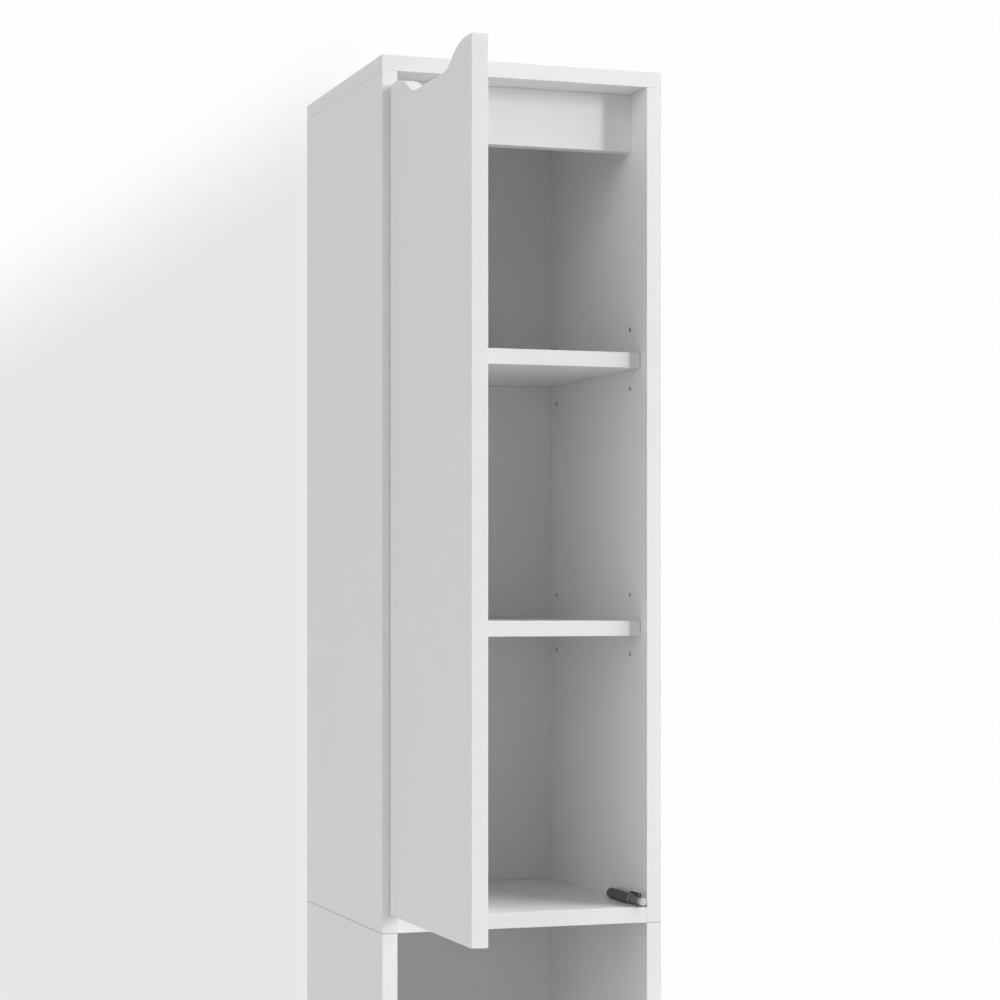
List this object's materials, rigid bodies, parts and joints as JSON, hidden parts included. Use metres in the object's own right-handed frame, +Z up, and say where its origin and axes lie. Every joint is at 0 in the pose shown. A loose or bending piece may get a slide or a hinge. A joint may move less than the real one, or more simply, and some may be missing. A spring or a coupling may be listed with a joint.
{
  "type": "tall bathroom cabinet",
  "caption": "Tall narrow floor-standing bathroom cabinet: upper compartment with inset door and shelves, open niche, lower compartment with inset door.",
  "frame": {"origin": "on the floor, in the middle of the box that the part fills at rest with its upper door open at 90 degrees; the front edges of the carcass lie 18.25 mm in front of it", "axes": "+Z up, +X to the right seen from the front, +Y from the front to the wall"},
  "size_m": [0.3, 0.5634, 1.9],
  "materials": {
    "coated_board": "chipboard with a smooth matt white melamine coat and edging",
    "back_board": "hardboard, white lacquered on the inside",
    "beech": "fluted beech",
    "zinc": "die-cast zinc",
    "plated_steel": "bright zinc plate",
    "nickel_steel": "pressed steel, nickel plate",
    "grey_plastic": "moulded, dark grey, matt",
    "white_plastic": "moulded or extruded, white",
    "soft_pad": "soft translucent pad",
    "glide_plastic": "moulded, hard, off-white"
  },
  "bodies": {
    "carcass": {"upper_left_side": "coated_board", "lower_left_side": "coated_board", "upper_right_side": "coated_board", "lower_right_side": "coated_board", "top_panel": "coated_board", "upper_bottom_panel": "coated_board", "niche_floor_panel": "coated_board", "lower_bottom_panel": "coated_board", "upper_rail": "coated_board", "rail_dowels": "beech", "lower_rail": "coated_board", "plinth_board": "coated_board", "upper_back_panel": "back_board", "lower_back_panel": "back_board", "back_joint_strip": "white_plastic", "cam_bolts": "plated_steel", "cam_locks": "zinc", "board_dowels": "beech", "seam_dowels": "beech", "upper_shelf_high": "coated_board", "shelf_pins": "plated_steel", "upper_shelf_low": "coated_board", "lower_shelf": "coated_board", "upper_hinge_plates": "nickel_steel", "upper_hinge_screws": "plated_steel", "upper_hinge_arms": "nickel_steel", "upper_hinge_pins": "plated_steel", "lower_hinge_plates": "nickel_steel", "lower_hinge_screws": "plated_steel", "lower_hinge_arms": "nickel_steel", "lower_hinge_pins": "plated_steel", "upper_damper_case": "grey_plastic", "upper_damper_nail": "plated_steel", "lower_damper_case": "grey_plastic", "lower_damper_nail": "plated_steel", "wall_bracket": "nickel_steel", "bracket_screws": "plated_steel", "floor_glides": "glide_plastic"},
    "upper_door": {"upper_hinge_cups": "nickel_steel", "upper_cup_screws": "plated_steel", "upper_door_panel": "coated_board", "upper_door_bumpers": "soft_pad"},
    "upper_links": {"upper_hinge_links": "nickel_steel"},
    "upper_plunger": {"upper_damper_tip": "white_plastic", "upper_damper_plunger": "grey_plastic"},
    "lower_door": {"lower_hinge_cups": "nickel_steel", "lower_cup_screws": "plated_steel", "lower_door_panel": "coated_board", "lower_door_bumpers": "soft_pad"},
    "lower_links": {"lower_hinge_links": "nickel_steel"},
    "lower_plunger": {"lower_damper_tip": "white_plastic", "lower_damper_plunger": "grey_plastic"}
  },
  "joints": [
    {"name": "upper_door_swing", "type": "hinge", "parent": "carcass", "child": "upper_door", "pos_m": [-0.13715, -0.0136, 1.461], "axis": [0, 0, -1], "range_deg": [-90, 5]},
    {"name": "upper_link_turn", "type": "hinge", "parent": "carcass", "child": "upper_links", "pos_m": [-0.1256, 0.00025, 1.461], "axis": [0, 0, -1], "range_deg": [-83, 6]},
    {"name": "upper_damper_press", "type": "slide", "parent": "carcass", "child": "upper_plunger", "axis": [0, 1, 0], "range_m": [-0.00149, 0.0218]},
    {"name": "lower_door_swing", "type": "hinge", "parent": "carcass", "child": "lower_door", "pos_m": [-0.13715, -0.0136, 0.4], "axis": [0, 0, -1], "range_deg": [0, 95]},
    {"name": "lower_link_turn", "type": "hinge", "parent": "carcass", "child": "lower_links", "pos_m": [-0.1256, 0.00025, 0.4], "axis": [0, 0, -1], "range_deg": [-1, 88]},
    {"name": "lower_damper_press", "type": "slide", "parent": "carcass", "child": "lower_plunger", "axis": [0, 1, 0], "range_m": [-0.02299, 0.0003]}
  ],
  "couplings": [
    {"joint": "upper_link_turn", "follows": "upper_door_swing", "ratio": 0.915},
    {"joint": "upper_damper_press", "follows": "upper_door_swing", "m_per_rad": -0.013687},
    {"joint": "lower_link_turn", "follows": "lower_door_swing", "ratio": 0.915},
    {"joint": "lower_damper_press", "follows": "lower_door_swing", "m_per_rad": -0.013687}
  ]
}
